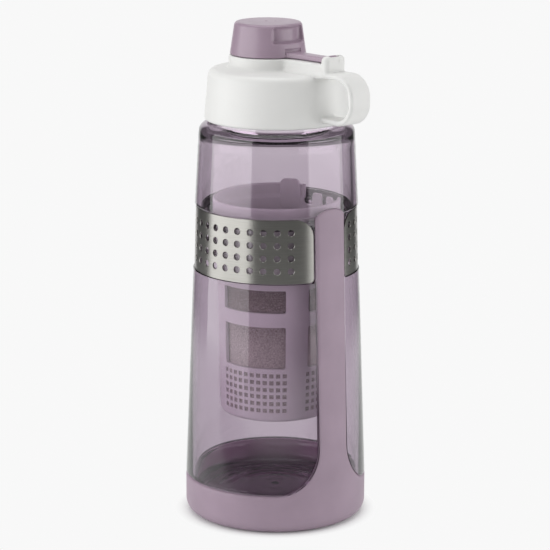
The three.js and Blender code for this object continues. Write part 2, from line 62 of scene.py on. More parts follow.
BASKET_Z, BASKET_TOP, BASKET_R_LOW, BASKET_R = 49.1, 144.5, 26.4, 28.4
BASKET_WALL, RIM_R, RIM_WALL, RIM_TOP = 1.4, 29.9, 1.7, 151.3
BASKET_TURN, RIB_HALF, PANELS = math.radians(-23), math.radians(11.2), 4
LID_Z, LID_R, LID_DRAFT, DECK_Z, LID_ROUND, ROOF_Z = 187.9, 33.6, 0.085, 211.5, 3.6, 209.0
BORE_R, CEILING_Z, DOME_R = 31.7, 201.6, 28.7
COLLAR_R, COLLAR_Z, CAP_X = 18.1, 217.2, -6.0
SPOUT_R, SPOUT_IN, SPOUT_TOP = 10.8, 9.0, 227.3
LOOP_HALF, LOOP_T, LOOP_X, LOOP_LOW, LOOP_HIGH, LOOP_ROUND = 6.2, 2.5, 54.2, 190.3, 213.6, 10.5
HINGE_X, HINGE_Z, KNUCKLE_R, KNUCKLE_HALF, PIN_R = 35.0, 218.7, 2.1, 2.9, 0.8
CHEEK, PIN_HALF = 3.0, 4.7
CAP_Z, CAP_TOP, CAP_R_LOW, CAP_R_TOP, CAP_ROUND = 217.5, 232.4, 17.6, 15.5, 1.8
CAP_WALL, CAP_ROOF, ARM_T, ARM_HALF = 1.9, 2.4, 2.4, 4.6
FAR = 60.0  # well outside the bottle, for cutters


def body_r(z):
    return BODY_R - BODY_DRAFT * (z - BOOT_EDGE)


def upper_r(z):
    return UPPER_R - UPPER_DRAFT * (z - BAND_TOP)


BAND_LOW_R, BAND_HIGH_R = body_r(BAND_Z) - BAND_INSET, UPPER_R - BAND_INSET


def band_r(z):
    return BAND_LOW_R + (BAND_HIGH_R - BAND_LOW_R) * (z - BAND_Z) / (BAND_TOP - BAND_Z)


def recess_r(z):
    return band_r(z) - BAND_T - GAP


def basket_r(z):
    return BASKET_R_LOW + (BASKET_R - BASKET_R_LOW) * (z - BASKET_Z) / (BASKET_TOP - BASKET_Z)


# Meshes

def arc(cx, cy, rx, ry, start, stop, steps):
    """Points of an ellipse about (cx, cy) between two angles in degrees."""
    angles = np.radians(np.linspace(start, stop, steps + 1))
    return [(cx + rx * math.cos(a), cy + ry * math.sin(a)) for a in angles]


def level_arc(r, a, z):
    """Points at one height and radius round the Z axis, at angles a."""
    return np.stack([r * np.cos(a), r * np.sin(a), np.full_like(a, z)], 1)


def lathe(profile, sides):
    """Closed profile of (radius, height), anticlockwise, turned about the Z axis."""
    points, faces, rings = [], [], []
    turns = np.linspace(0, 2 * math.pi, sides, endpoint=False)
    for r, z in profile:
        start = len(points)
        if r < 1e-6:
            points.append((0, 0, z))
            rings.append([start] * sides)
        else:
            points.extend((r * math.cos(a), r * math.sin(a), z) for a in turns)
            rings.append(list(range(start, start + sides)))
    for i, low in enumerate(rings):
        high = rings[(i + 1) % len(rings)]
        for j in range(sides):
            k = (j + 1) % sides
            face = list(dict.fromkeys((low[j], low[k], high[k], high[j])))
            if len(face) > 2:
                faces.append(face)
    return np.array(points, float), faces


def slab(inner, outer):
    """Closed shell between two grids of points: rows go up, columns anticlockwise."""
    rows, columns = inner.shape[:2]
    points = np.concatenate([outer.reshape(-1, 3), inner.reshape(-1, 3)])
    out = np.arange(rows * columns).reshape(rows, columns)
    back = out + rows * columns
    faces = []
    for r in range(rows - 1):
        for c in range(columns - 1):
            faces.append((out[r, c], out[r, c + 1], out[r + 1, c + 1], out[r + 1, c]))
            faces.append((back[r, c], back[r + 1, c], back[r + 1, c + 1], back[r, c + 1]))
        s, t = r, r + 1
        faces.append((out[s, 0], out[t, 0], back[t, 0], back[s, 0]))
        faces.append((back[s, -1], back[t, -1], out[t, -1], out[s, -1]))
    for c in range(columns - 1):
        d = c + 1
        faces.append((back[0, c], back[0, d], out[0, d], out[0, c]))
        faces.append((out[-1, c], out[-1, d], back[-1, d], back[-1, c]))
    return points, [tuple(int(i) for i in f) for f in faces]


def joined(shapes):
    """Several shapes as one list of points and faces."""
    points, faces, start = [], [], 0
    for p, f in shapes:
        points.append(p)
        faces.extend(tuple(i + start for i in face) for face in f)
        start += len(p)
    return np.concatenate(points), faces


def turned(shape, angle):
    points, faces = shape
    c, s = math.cos(angle), math.sin(angle)
    x, y = points[:, 0], points[:, 1]
    return np.stack([c * x - s * y, s * x + c * y, points[:, 2]], 1), faces


def raw(shape):
    """Bare object of a shape, for use in a boolean."""
    points, faces = shape
    mesh = bpy.data.meshes.new("raw")
    mesh.from_pydata((points * MM).tolist(), [], faces)
    ob = bpy.data.objects.new("raw", mesh)
    scene.collection.objects.link(ob)
    return ob


def carve(ob, shape):
    """Cuts a shape out of an object."""
    tool = raw(shape)
    step = ob.modifiers.new("step", "BOOLEAN")
    step.operation, step.solver, step.object = "DIFFERENCE", "MANIFOLD", tool
    bpy.context.view_layer.update()
    made = bpy.data.meshes.new_from_object(ob.evaluated_get(bpy.context.evaluated_depsgraph_get()))
    ob.modifiers.clear()
    ob.data = made
    bpy.data.objects.remove(tool)
    return ob


def piece(name, shape, material, body, replaced=(), sharp=35, normals=None):
    """A finished piece from a shape or a carved object."""
    ob = shape if isinstance(shape, bpy.types.Object) else raw(shape)
    ob.name = ob.data.name = name
    mesh = ob.data
    mesh.polygons.foreach_set("use_smooth", [True] * len(mesh.polygons))
    if normals is not None:
        mesh.normals_split_custom_set_from_vertices(normals.tolist())
    else:
        mesh.set_sharp_from_angle(angle=math.radians(sharp))
    mesh.materials.clear()
    mesh.materials.append(material)
    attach(ob, body)
    if replaced:
        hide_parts(*replaced)
    return ob


# Moulded shapes from distance fields

def smooth_min(a, b, k):
    h = np.clip(0.5 + 0.5 * (b - a) / k, 0, 1)
    return b * (1 - h) + a * h - k * h * (1 - h)


def round_max(a, b, r):
    """Overlap of two fields with the edge between them rounded."""
    u, v = np.maximum(a + r, 0), np.maximum(b + r, 0)
    return np.minimum(np.maximum(a, b), -r) + np.sqrt(u * u + v * v)


def rounded_box(u, v, half_u, half_v, corner):
    """Distance to a rectangle with rounded corners."""
    qu, qv = np.abs(u) - half_u + corner, np.abs(v) - half_v + corner
    return np.hypot(np.maximum(qu, 0), np.maximum(qv, 0)) + np.minimum(np.maximum(qu, qv), 0) - corner


def polygon_field(points, low, high, step=0.2):
    """Signed distance to a closed outline, kept on a fine grid."""
    xs = np.arange(low[0], high[0] + step, step)
    ys = np.arange(low[1], high[1] + step, step)
    x, y = np.meshgrid(xs, ys, indexing="ij")
    near = np.full(x.shape, 1e9)
    inside = np.zeros(x.shape, bool)
    for (ax, ay), (bx, by) in zip(points, points[1:] + points[:1]):
        ex, ey = bx - ax, by - ay
        length = ex * ex + ey * ey
        if length < 1e-12:
            continue
        t = np.clip(((x - ax) * ex + (y - ay) * ey) / length, 0, 1)
        near = np.minimum(near, (x - ax - t * ex) ** 2 + (y - ay - t * ey) ** 2)
        if ay != by:
            spans = (ay > y) != (by > y)
            inside ^= spans & (x < ax + (y - ay) * ex / ey)
    grid = np.where(inside, -1, 1) * np.sqrt(near)

    def look(px, py):
        u = np.clip((px - low[0]) / step, 0, len(xs) - 1.001)
        v = np.clip((py - low[1]) / step, 0, len(ys) - 1.001)
        i, j = u.astype(np.int32), v.astype(np.int32)
        u, v = u - i, v - j
        near_row = grid[i, j] * (1 - u) + grid[i + 1, j] * u
        far_row = grid[i, j + 1] * (1 - u) + grid[i + 1, j + 1] * u
        return near_row * (1 - v) + far_row * v

    return look


def slope(field, p, e):
    """Gradient of a field at points."""
    steps = np.eye(3) * e
    return np.stack([(field(*(p + s).T) - field(*(p - s).T)) / (2 * e) for s in steps], 1)


def net(field, low, high, step):
    """Closed surface of a field: points, faces and normals."""
    low, high = np.array(low, float), np.array(high, float)
    count = np.ceil((high - low) / step).astype(int) + 1
    axes = [low[i] + step * np.arange(count[i]) for i in range(3)]
    values = np.empty(count, np.float32)
    for i in range(0, count[0], 16):
        x, y, z = np.meshgrid(axes[0][i:i + 16], axes[1], axes[2], indexing="ij")
        values[i:i + 16] = field(x, y, z)
    full = values < 0
    cells = np.zeros(count - 1, np.int8)
    corners = [(a, b, c) for a in (0, 1) for b in (0, 1) for c in (0, 1)]
    size = count - 1
    for a, b, c in corners:
        cells += full[a:a + size[0], b:b + size[1], c:c + size[2]]
    cut = (cells > 0) & (cells < 8)
    ids = np.full(cut.shape, -1)
    ids[cut] = np.arange(cut.sum())
    at = np.stack(np.nonzero(cut), 1)
    total, weight = np.zeros((len(at), 3)), np.zeros(len(at))
    for first in corners:
        for axis in range(3):
            if first[axis]:
                continue
            second = list(first)
            second[axis] = 1
            fa = values[tuple((at + first).T)]
            fb = values[tuple((at + second).T)]
            cross = (fa < 0) != (fb < 0)
            t = np.where(cross, fa / np.where(cross, fa - fb, 1), 0)
            spot = np.tile(np.array(first, float), (len(at), 1))
            spot[:, axis] = t
            total += spot * cross[:, None]
            weight += cross
    points = low + step * (at + total / weight[:, None])
    start = points.copy()
    for _ in range(4):
        grade = slope(field, points, step * 0.15)
        move = field(*points.T)[:, None] * grade / np.maximum((grade ** 2).sum(1), 0.2)[:, None]
        moved = points - np.clip(move, -step / 2, step / 2)
        points = np.clip(moved, start - 0.7 * step, start + 0.7 * step)
    normals = slope(field, points, step * 0.3)
    normals /= np.maximum(np.linalg.norm(normals, axis=1), 1e-9)[:, None]
    faces = []
    for axis in range(3):
        u, v = (axis + 1) % 3, (axis + 2) % 3
        here = np.moveaxis(full, (axis, u, v), (0, 1, 2))
        cell = np.moveaxis(ids, (axis, u, v), (0, 1, 2))
        change = (here[:-1] != here[1:])[:, 1:-1, 1:-1]
        i, j, k = np.nonzero(change)
        quad = np.stack([cell[i, j, k], cell[i, j + 1, k], cell[i, j + 1, k + 1], cell[i, j, k + 1]], 1)
        outward = here[i, j + 1, k + 1]
        quad[~outward] = quad[~outward][:, ::-1]
        faces.append(quad)
    return (points, np.concatenate(faces).tolist()), normals


# Materials

def material(name):
    made = bpy.data.materials.new(name)
    made.use_nodes = True
    tree = made.node_tree
    shader = tree.nodes["Principled BSDF"]
    return made, tree, shader


def node(tree, kind, **values):
    made = tree.nodes.new(kind)
    for key, value in values.items():
        setattr(made, key, value)
    return made


def set_inputs(made, **values):
    """Sets a node's inputs by name, to plain values or to other nodes' outputs."""
    for key, value in values.items():
        socket = made.inputs[key.replace("_", " ")]
        if isinstance(value, bpy.types.NodeSocket):
            made.id_data.links.new(value, socket)
        else:
            socket.default_value = value


def math_node(tree, operation, a, b=None):
    made = node(tree, "ShaderNodeMath", operation=operation)
    for socket, value in zip(made.inputs, (a, b)):
        if isinstance(value, (int, float)):
            socket.default_value = value
        elif value is not None:
            tree.links.new(value, socket)
    return made.outputs[0]


def times(tree, a, b):
    return math_node(tree, "MULTIPLY", a, b)


def larger(tree, a, b):
    return math_node(tree, "MAXIMUM", a, b)


def noise(tree, vector, scale, detail=2.0, roughness=0.5):
    made = node(tree, "ShaderNodeTexNoise")
    set_inputs(made, Vector=vector, Scale=scale, Detail=detail, Roughness=roughness)
    return made.outputs["Fac"]


def ramp(tree, factor, low, high, start=0.3, stop=0.7):
    made = node(tree, "ShaderNodeValToRGB")
    made.color_ramp.elements[0].position = start
    made.color_ramp.elements[1].position = stop
    made.color_ramp.elements[0].color = (*low, 1)
    made.color_ramp.elements[1].color = (*high, 1)
    set_inputs(made, Fac=factor)
    return made.outputs["Color"]


def map_range(tree, value, start, stop, low=0.0, high=1.0, smooth=False):
    """A value mapped from one span to another, with its ends held."""
    made = node(tree, "ShaderNodeMapRange", interpolation_type="SMOOTHSTEP" if smooth else "LINEAR")
    set_inputs(made, Value=value, From_Min=start, From_Max=stop, To_Min=low, To_Max=high)
    return made.outputs["Result"]


def spread(tree, factor, low, high):
    return map_range(tree, factor, 0.0, 1.0, low, high)


def mixed(tree, factor, first, second):
    """A mix of two shader nodes."""
    made = node(tree, "ShaderNodeMixShader")
    set_inputs(made, Fac=factor)
    tree.links.new(first.outputs[0], made.inputs[1])
    tree.links.new(second.outputs[0], made.inputs[2])
    return made


def axes_of(tree, vector):
    """A vector's X, Y and Z."""
    made = node(tree, "ShaderNodeSeparateXYZ")
    tree.links.new(vector, made.inputs[0])
    return made.outputs


def bump(tree, shader, height, distance, strength=1.0):
    made = node(tree, "ShaderNodeBump")
    set_inputs(made, Height=height, Distance=distance, Strength=strength)
    set_inputs(shader, Normal=made.outputs["Normal"])


def object_coordinates(tree):
    return node(tree, "ShaderNodeTexCoord").outputs["Object"]


def plastic(name, color, rough, grain, depth, shift=0.06, specular=0.5):
    """Moulded plastic: faint mottling, uneven gloss and a fine grain."""
    made, tree, shader = material(name)
    where = object_coordinates(tree)
    mottle = noise(tree, where, 55, 3)
    low = tuple(c * (1 - shift) for c in color)
    high = tuple(min(c * (1 + shift), 1) for c in color)
    color = ramp(tree, mottle, low, high)
    gloss = spread(tree, noise(tree, where, 240, 2), rough - 0.06, rough + 0.06)
    set_inputs(shader, Base_Color=color, Roughness=gloss, Specular_IOR_Level=specular)
    bump(tree, shader, noise(tree, where, grain, 2), depth)
    return made


# How far a face's plane lies out from the middle of the boot's edge, in metres: below nought inside
INSIDE_FROM, INSIDE_TO = -0.004, -0.01


def painted_light_inside(made, color):
    """Painted light: the boot's faces that look inwards get a lighter colour, stronger in hue, standing in
    for the light that fills the boot.
    """
    tree = made.node_tree
    shader = tree.nodes["Principled BSDF"]
    spot = node(tree, "ShaderNodeTexCoord")
    from_edge = node(tree, "ShaderNodeVectorMath", operation="SUBTRACT")
    tree.links.new(spot.outputs["Object"], from_edge.inputs[0])
    from_edge.inputs[1].default_value = (0, 0, BOOT_EDGE * MM)
    outward = node(tree, "ShaderNodeVectorMath", operation="DOT_PRODUCT")
    tree.links.new(from_edge.outputs[0], outward.inputs[0])
    tree.links.new(spot.outputs["Normal"], outward.inputs[1])
    # painted light: full on the faces that look inwards
    painted_light = map_range(tree, outward.outputs["Value"], INSIDE_FROM, INSIDE_TO)
    mix = node(tree, "ShaderNodeMix", data_type="RGBA")
    tree.links.new(painted_light, mix.inputs[0])
    tree.links.new(shader.inputs["Base Color"].links[0].from_socket, mix.inputs[6])
    mix.inputs[7].default_value = (*color, 1)
    set_inputs(shader, Base_Color=mix.outputs[2])


def clear_plastic(name):
    """Clear tinted plastic: the tint comes from absorption inside the wall."""
    made, tree, shader = material(name)
    where = object_coordinates(tree)
    color = ramp(tree, noise(tree, where, 40, 2), (0.985, 0.98, 0.985), (1, 1, 1))
    gloss = spread(tree, noise(tree, where, 90, 2), 0.004, 0.018)
    set_inputs(shader, Base_Color=color, Roughness=gloss, IOR=1.56, Transmission_Weight=1.0)
    absorb = node(tree, "ShaderNodeVolumeAbsorption")
    set_inputs(absorb, Color=(0.387, 0.237, 0.387, 1), Density=205.0)
    through = node(tree, "ShaderNodeBsdfTransparent")
    set_inputs(through, Color=(0.97, 0.955, 0.97, 1))
    shadow = node(tree, "ShaderNodeLightPath").outputs["Is Shadow Ray"]
    mix = mixed(tree, shadow, shader, through)
    set_inputs(tree.nodes["Material Output"], Surface=mix.outputs[0], Volume=absorb.outputs[0])
    return made


def brushed_steel(name):
    """Steel sheet brushed round the bottle: long fine streaks."""
    made, tree, shader = material(name)
    at = axes_of(tree, object_coordinates(tree))
    around = math_node(tree, "ARCTAN2", at["Y"], at["X"])
    join = node(tree, "ShaderNodeCombineXYZ")
    set_inputs(join, X=times(tree, around, 0.9), Y=times(tree, at["Z"], 900.0))
    streak = noise(tree, join.outputs[0], 3.0, 5, 0.65)
    color = ramp(tree, streak, (0.3, 0.294, 0.273), (0.395, 0.388, 0.368))
    set_inputs(shader, Base_Color=color, Roughness=spread(tree, streak, 0.25, 0.35))
    set_inputs(shader, Metallic=1.0, Anisotropic=0.7, Anisotropic_Rotation=0.25)
    tangent = node(tree, "ShaderNodeTangent", direction_type="RADIAL", axis="Z")
    set_inputs(shader, Tangent=tangent.outputs[0])
    bump(tree, shader, streak, 0.00002, 0.6)
    return made


# Heights in metres between which the mesh's colour changes, with the shift above and below:
# painted shade high up under the band, and more painted shade behind the small holes
MESH_PAINTED_SHADE = ((0.107, 0.085, -0.18, 0.02), (0.0755, 0.0735, 0.0, -0.07))


def woven_mesh(name):
    """Fine woven wire of uneven tone, with painted shade high up under the band and behind the small holes.
    """
    made, tree, shader = material(name)
    where = object_coordinates(tree)
    at = axes_of(tree, where)
    around = math_node(tree, "ARCTAN2", at["Y"], at["X"])
    warp = math_node(tree, "SINE", times(tree, around, 300.0))
    weft = math_node(tree, "SINE", times(tree, at["Z"], 12000.0))
    weave = times(tree, warp, weft)
    cloud = noise(tree, where, 1500, 4, 0.75)
    tone = math_node(tree, "ADD", times(tree, cloud, 0.75), 0.12)
    tone = math_node(tree, "ADD", tone, times(tree, weave, 0.1))
    # painted shade: darker high up under the band and behind the small holes
    for high, low, above, below in MESH_PAINTED_SHADE:
        tone = math_node(tree, "ADD", tone, map_range(tree, at["Z"], high, low, above, below))
    color = ramp(tree, tone, (0.2, 0.16, 0.155), (0.85, 0.77, 0.755))
    set_inputs(shader, Base_Color=color, Roughness=spread(tree, cloud, 0.3, 0.6), Metallic=0.55)
    bump(tree, shader, weave, 0.0001, 0.7)
    return made


CLEAR = clear_plastic("clear_plastic")
BOOT = plastic("soft_boot", (0.355, 0.266, 0.336), 0.5, 2600, 0.00002)
# painted light inside the boot
painted_light_inside(BOOT, (0.7, 0.46, 0.62))
CAP = plastic("cap_plastic", (0.352, 0.26, 0.332), 0.33, 1500, 0.000008, specular=0.65)
BASKET = plastic("basket_plastic", (0.81, 0.75, 0.795), 0.38, 900, 0.00001)
LID = plastic("lid_plastic", (0.78, 0.78, 0.765), 0.45, 1800, 0.00001, 0.015)
SILICONE = plastic("silicone", (0.72, 0.71, 0.68), 0.6, 2000, 0.00001, 0.03)
STEEL = brushed_steel("brushed_steel")
WEAVE = woven_mesh("woven_mesh")


# Bottle

def pillar_half(z, grow):
    """Half width of the pillar at a height, fillets and arched top included."""
    edge, radius = BOOT_EDGE + grow, PILLAR_FILLET - grow
    low, top = edge + radius, BAND_TOP
    if z >= top:
        rise = PILLAR_RISE + grow
        return (PILLAR_HIGH + grow) * math.sqrt(max(0.0, 1 - ((z - top) / rise) ** 2))
    if z >= low:
        return PILLAR_LOW + grow + (PILLAR_HIGH - PILLAR_LOW) * (z - low) / (top - low)
    s = PILLAR_LOW + grow + radius - math.sqrt(max(0.0, radius ** 2 - (z - low) ** 2))
    return BODY_R * math.sin(s / BODY_R)


def channel_r(z):
    """Radius of the seat that the pillar lies in."""
    foot, top = BODY_R - BOOT_WALL, recess_r(BAND_TOP)
    heights = (0, BOOT_EDGE, BAND_Z, BAND_TOP, BAND_TOP + 10)
    return float(np.interp(z, heights, (foot, foot, recess_r(BAND_Z), top, top)))


SEAT_GAP = -0.2  # the soft boot presses into the wall's edge
PILLAR_STRAIGHT_Z = 45.0


def pillar_cutter(far):
    """Cutter for the pillar's seat in the wall."""
    heights = np.concatenate([
        [BOOT_EDGE - 2],
        np.linspace(BOOT_EDGE + SEAT_GAP, BOOT_EDGE + PILLAR_FILLET, 26),
        np.linspace(PILLAR_STRAIGHT_Z, BAND_TOP, 30),
        BAND_TOP + (PILLAR_RISE + SEAT_GAP) * np.sin(np.linspace(0.1, 1.5, 12)),
    ])
    across = np.linspace(-1, 1, 25)
    inner, outer = [], []
    for z in heights:
        half = pillar_half(max(z, BOOT_EDGE + SEAT_GAP), SEAT_GAP)
        y = across * half
        r = channel_r(z)
        inner.append(np.stack([np.sqrt(np.maximum(r * r - y * y, 1)), y, np.full_like(y, z)], 1))
        outer.append(np.stack([np.full_like(y, far), y, np.full_like(y, z)], 1))
    return turned(slab(np.array(inner), np.array(outer)), PILLAR_TURN)


def band_grid(margin, radius, heights, columns):
    """Points on the band's cone between its rounded ends, grown by a margin."""
    half = BAND_HIGH_R * math.sin(BAND_GAP_HALF) - margin
    top, foot = BAND_TOP + margin, BAND_Z - margin
    high, low = BAND_CORNER_TOP + margin, BAND_CORNER_LOW + margin
    rows = []
    for z in heights:
        y = half
        if z > top - high:
            y += high - math.sqrt(max(0.0, high ** 2 - (z - top + high) ** 2))
        if z < foot + low:
            y += low - math.sqrt(max(0.0, low ** 2 - (foot + low - z) ** 2))
        end = math.asin(y / band_r(z))
        a = np.linspace(end, 2 * math.pi - end, columns)
        r = radius(z)
        rows.append(level_arc(r, a, z))
    return np.array(rows)


def band_heights(low, high):
    corner = BAND_CORNER_TOP
    return np.concatenate([
        np.linspace(low, low + BAND_CORNER_LOW, 6), np.linspace(low + 2, high - corner, 8),
        high - corner + corner * np.sin(np.linspace(0.1, math.pi / 2, 14)),
    ])


EDGE_ROUND = 0.9  # where the wall turns in over the band's upper edge
INNER_FLOOR, FOOT_WALL = BOOT_FLOOR + GAP + 4.4, 1.2
PUNT_R, PUNT_H = 29.0, 3.0  # the floor's low dome
RIPPLE, RIPPLE_PITCH, GATE_R, GATE_H = 0.035, 6.4, 1.4, 0.5
MOUTH_ROUND, LEDGE_ROUND, FOOT_STEP_ROUND = 0.4, 0.5, 1.2
TURN_Z, TURN_TALL = SHOULDER_Z - 6, 8.0  # the inner turn from the wall to the neck
THREAD_Z, THREAD_TURNS, THREAD_LEAD, THREAD_PROUD = 189.5, 1.15, 6.0, 0.27


def floor_rings():
    """Domed inner floor with faint moulding rings and the gate's stub in the middle."""
    rings = []
    for r in np.linspace(PUNT_R, 0, 60)[1:]:
        z = INNER_FLOOR + PUNT_H * math.sqrt(1 - (r / PUNT_R) ** 2)
        fade = 1 - math.exp(-((r - PUNT_R) / 3) ** 2)
        ripple = RIPPLE * math.cos(2 * math.pi * r / RIPPLE_PITCH) * fade
        gate = GATE_H * math.exp(-(r / GATE_R) ** 4)
        rings.append((r, z + ripple + gate))
    return rings


def wall_in(z):
    """Radius of the inner wall below the shoulder."""
    outside = body_r(z) if z < BAND_Z else band_r(z) + BAND_INSET
    return outside - WALL


def outer_profile():
    """The bottle's outside, from under the foot up to the mouth."""
    foot, seat_z = BOOT_FLOOR + GAP, BOOT_EDGE + GAP
    rebate = BODY_R - BOOT_WALL - GAP
    edge_z = BAND_TOP + GAP + EDGE_ROUND
    shoulder = upper_r(SHOULDER_Z) - SHOULDER_ROUND
    return [
        *arc(0, foot, PUNT_R, PUNT_H, 90, 0, 16),
        *arc(BODY_R - BOOT_ROUND, BOOT_ROUND, BOOT_ROUND - BOOT_WALL - GAP, BOOT_ROUND - foot, -90, 0, 8),
        (rebate, seat_z),
        (body_r(seat_z) - 0.4, seat_z),
        (body_r(seat_z), seat_z + 0.4),
        (body_r(BAND_Z), BAND_Z),
        (UPPER_R - EDGE_ROUND, BAND_TOP),
        *arc(upper_r(edge_z) - EDGE_ROUND, edge_z, EDGE_ROUND, EDGE_ROUND, -90, 0, 10),
        (upper_r(edge_z + 0.5), edge_z + 0.5),
        *arc(shoulder, SHOULDER_Z, SHOULDER_ROUND, SHOULDER_ROUND, 0, 90, 16),
        (NECK_R, SHOULDER_Z + SHOULDER_ROUND),
        *arc(NECK_R - MOUTH_ROUND, MOUTH_Z - MOUTH_ROUND, MOUTH_ROUND, MOUTH_ROUND, 0, 90, 4),
    ]


def inner_profile():
    """The bottle's inside, from the mouth down to the middle of the floor."""
    turn_in = upper_r(TURN_Z) - UPPER_WALL - NECK_IN
    ledge_low, ledge_in = LEDGE_Z - LEDGE_T, LEDGE_R + LEDGE_ROUND
    inside = BODY_R - BOOT_WALL - GAP - FOOT_WALL
    cove = inside - PUNT_R
    step_in = wall_in(FOOT_STEP_Z) - FOOT_STEP_ROUND
    return [
        *arc(NECK_IN + MOUTH_ROUND, MOUTH_Z - MOUTH_ROUND, MOUTH_ROUND, MOUTH_ROUND, 90, 180, 4),
        *arc(NECK_IN, TURN_Z, turn_in, TURN_TALL, 90, 0, 16),
        (wall_in(BAND_TOP), BAND_TOP),
        (wall_in(LEDGE_Z), LEDGE_Z),
        *arc(ledge_in, LEDGE_Z - LEDGE_ROUND, LEDGE_ROUND, LEDGE_ROUND, 90, 180, 4),
        *arc(ledge_in, ledge_low + LEDGE_ROUND, LEDGE_ROUND, LEDGE_ROUND, 180, 270, 4),
        (wall_in(ledge_low), ledge_low),
        (wall_in(BAND_Z), BAND_Z),
        *arc(step_in, FOOT_STEP_Z, FOOT_STEP_ROUND, FOOT_STEP_ROUND, 0, -50, 4),
        (inside, BOOT_EDGE - 1.4),
        *arc(PUNT_R, INNER_FLOOR + cove / 2, cove, cove / 2, 0, -90, 14),
        *floor_rings(),
    ]


def thread():
    """Screw thread on the neck: a low ridge that runs out at both ends."""
    turns = np.linspace(0, 2 * math.pi * THREAD_TURNS, 240)
    rows = np.array([-0.9, -0.35, 0.35, 0.9])
    ridge = np.array([0.0, 1.0, 1.0, 0.0])
    rise = np.clip(np.minimum(turns, turns[-1] - turns) / 0.35, 0, 1)
    sunk, back = NECK_R - 0.15, NECK_R - 0.3
    z = THREAD_Z + THREAD_LEAD / (2 * math.pi) * turns[None, :] + rows[:, None]
    r = sunk + (THREAD_PROUD + 0.15) * ridge[:, None] * rise[None, :]
    outer = np.stack([r * np.cos(turns), r * np.sin(turns), z], 2)
    inner = np.stack([back * np.cos(turns) + 0 * z, back * np.sin(turns) + 0 * z, z], 2)
    return slab(inner, outer)


bottle = raw(lathe(outer_profile() + inner_profile(), 224))
carve(bottle, pillar_cutter(FAR))
recess_heights = band_heights(BAND_Z - GAP, BAND_TOP + GAP)
recess = slab(
    band_grid(BAND_FRAME, recess_r, recess_heights, 260),
    band_grid(BAND_FRAME, lambda z: FAR, recess_heights, 260),
)
carve(bottle, turned(recess, PILLAR_TURN))
piece("bottle_clear", bottle, CLEAR, "bottle", ["bottle"], sharp=28)
piece("neck_thread", thread(), CLEAR, "bottle")


# Steel band

HOLE_CHAMFER = 0.22


def hole_cutters():
    """Round cutters for the band's holes, flared at the outer face."""
    shapes = []
    sides = np.linspace(0, 2 * math.pi, 22, endpoint=False)
    n = len(sides)
    wide = HOLE_R + HOLE_CHAMFER
    levels = ((HOLE_R, -3.0), (HOLE_R, -0.14), (wide, 0.08), (wide, 3.0))
    faces = [tuple(range(n - 1, -1, -1)), tuple(range(3 * n, 4 * n))]
    for k in range(0, 3 * n, n):
        faces += [(k + i, k + (i + 1) % n, k + n + (i + 1) % n, k + n + i) for i in range(n)]
    middle = (BAND_Z + BAND_TOP) / 2
    for column in range(HOLE_COLUMNS):
        a = HOLE_FIRST - column * HOLE_PITCH
        along = np.array([math.cos(a), math.sin(a), 0])
        side = np.array([-math.sin(a), math.cos(a), 0])
        ring = np.cos(sides)[:, None] * side + np.sin(sides)[:, None] * np.array([0, 0, 1])
        for row in range(HOLE_ROWS):
            z = middle + (row - (HOLE_ROWS - 1) / 2) * HOLE_ROW_PITCH
            face = band_r(z) - HOLE_R ** 2 / (2 * band_r(z))
            up = np.array([0, 0, z])
            points = np.concatenate([ring * r + along * (face + d) + up for r, d in levels])
            shapes.append((points, faces))
    return joined(shapes)


heights = band_heights(BAND_Z, BAND_TOP)
band_in = band_grid(0, lambda z: band_r(z) - BAND_T, heights, 330)
band_out = band_grid(0, band_r, heights, 330)
band = raw(slab(band_in, band_out))
carve(band, hole_cutters())
band.data.transform(Matrix.Rotation(PILLAR_TURN, 4, "Z"))
piece("band", band, STEEL, "bottle", ["steel_band"], sharp=30)


# Boot

PILLAR_END = 154.2


def boot_field():
    """Cup with one pillar: a turned shell cut to the pillar's outline, with soft edges."""
    outer = [
        (-5, 0), *arc(BODY_R - BOOT_ROUND, BOOT_ROUND, BOOT_ROUND, BOOT_ROUND, -90, 0, 10),
        (BODY_R, BOOT_EDGE), (body_r(BAND_Z) + PILLAR_PROUD, BAND_Z),
        (UPPER_R + PILLAR_PROUD, BAND_TOP), (upper_r(154) + PILLAR_PROUD / 2, PILLAR_END), (-5, PILLAR_END),
    ]
    seat = recess_r(BAND_TOP) + GAP
    inner = [
        (-5, BOOT_FLOOR),
        *arc(BODY_R - BOOT_ROUND, BOOT_ROUND, BOOT_ROUND - BOOT_WALL, BOOT_ROUND - BOOT_FLOOR, -90, 0, 8),
        (BODY_R - BOOT_WALL, BOOT_EDGE), (recess_r(BAND_Z) + GAP, BAND_Z),
        (seat, BAND_TOP), (seat, 170), (-5, 170),
    ]
    low, high = (0, -4), (50, 160)
    skin, hollow = polygon_field(outer, low, high), polygon_field(inner, low, high)
    bend = PILLAR_FILLET
    fillet = arc(PILLAR_LOW + bend, BOOT_EDGE + bend, bend, bend, 270, 180, 24)
    side = [
        (90, -30), (90, BOOT_EDGE), *[(BODY_R * math.sin(u / BODY_R), z) for u, z in fillet],
        *arc(0, BAND_TOP, PILLAR_HIGH, PILLAR_RISE, 0, 90, 14),
        (-20, BAND_TOP + PILLAR_RISE), (-20, -30),
    ]
    edge = polygon_field(side, (0, -6), (60, 160))
    c, s = math.cos(PILLAR_TURN), math.sin(PILLAR_TURN)

    def field(x, y, z):
        r = np.hypot(x, y)
        across = np.where(c * x + s * y > 0, np.abs(c * y - s * x), BODY_R)
        shell = round_max(skin(r, z), edge(across, z), 1.3)
        return round_max(shell, -hollow(r, z), 0.35)

    return field


boot, boot_normals = net(boot_field(), (-43.5, -43.5, -1), (43.5, 43.5, 154), 0.62)
piece("boot_soft", boot, BOOT, "bottle", ["boot"], normals=boot_normals)


# Tea basket

